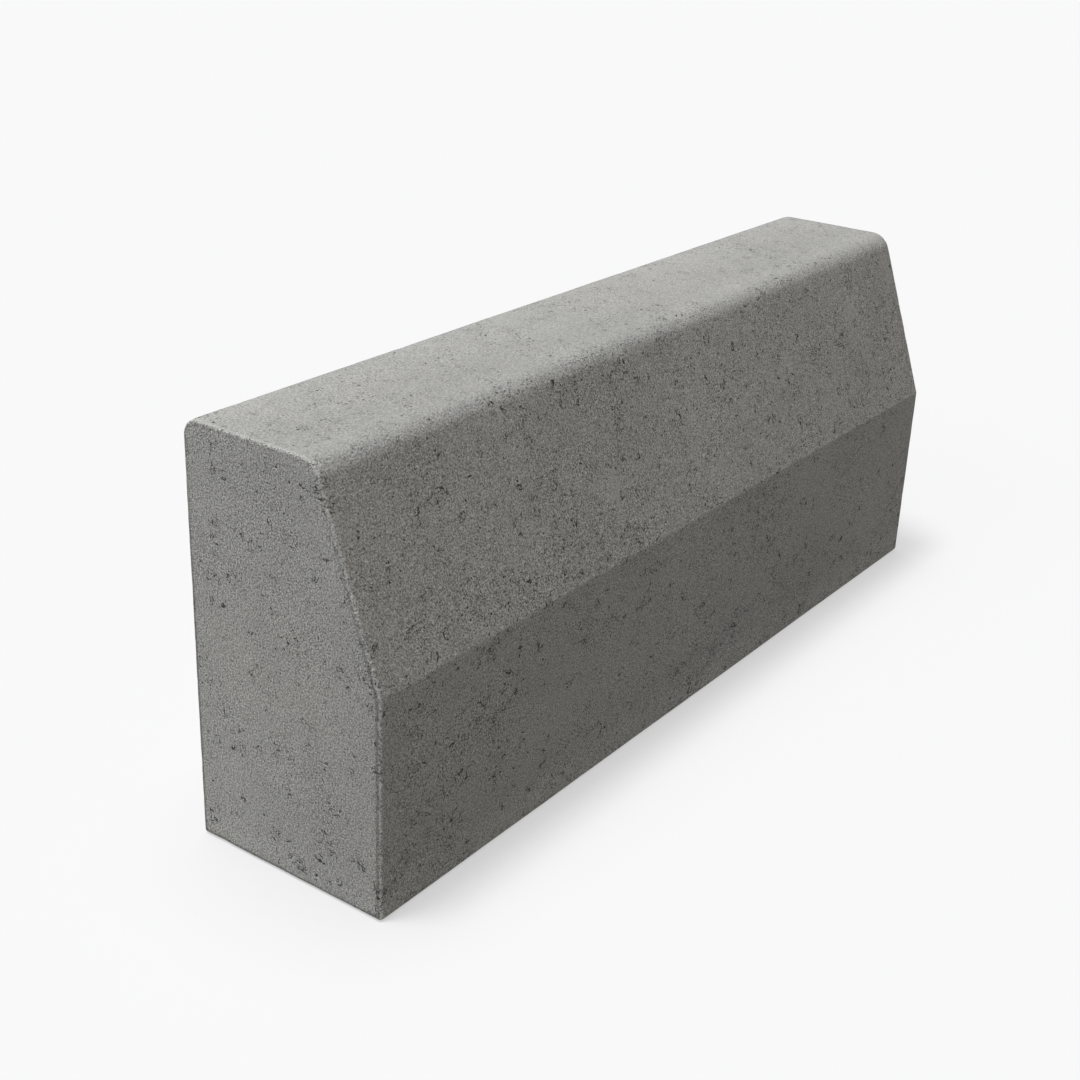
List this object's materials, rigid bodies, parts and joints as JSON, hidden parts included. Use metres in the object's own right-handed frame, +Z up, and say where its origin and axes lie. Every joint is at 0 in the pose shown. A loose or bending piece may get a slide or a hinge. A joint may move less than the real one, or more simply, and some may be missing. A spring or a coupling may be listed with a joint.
{
  "type": "kerb stone",
  "caption": "Precast concrete kerb stone with an upright back, rounded top edges and a half-batter face towards the road.",
  "frame": {"origin": "middle of the bed, the flat underside that the kerb stands on", "axes": "+X along the kerb's length, -Y towards the road side that has the batter, +Y towards the upright back, +Z up"},
  "size_m": [0.75, 0.16, 0.3],
  "materials": {
    "concrete": "bare grey concrete, matt, fine sandy grain with small pits"
  },
  "bodies": {
    "root": {"kerb": "concrete"}
  },
  "joints": []
}
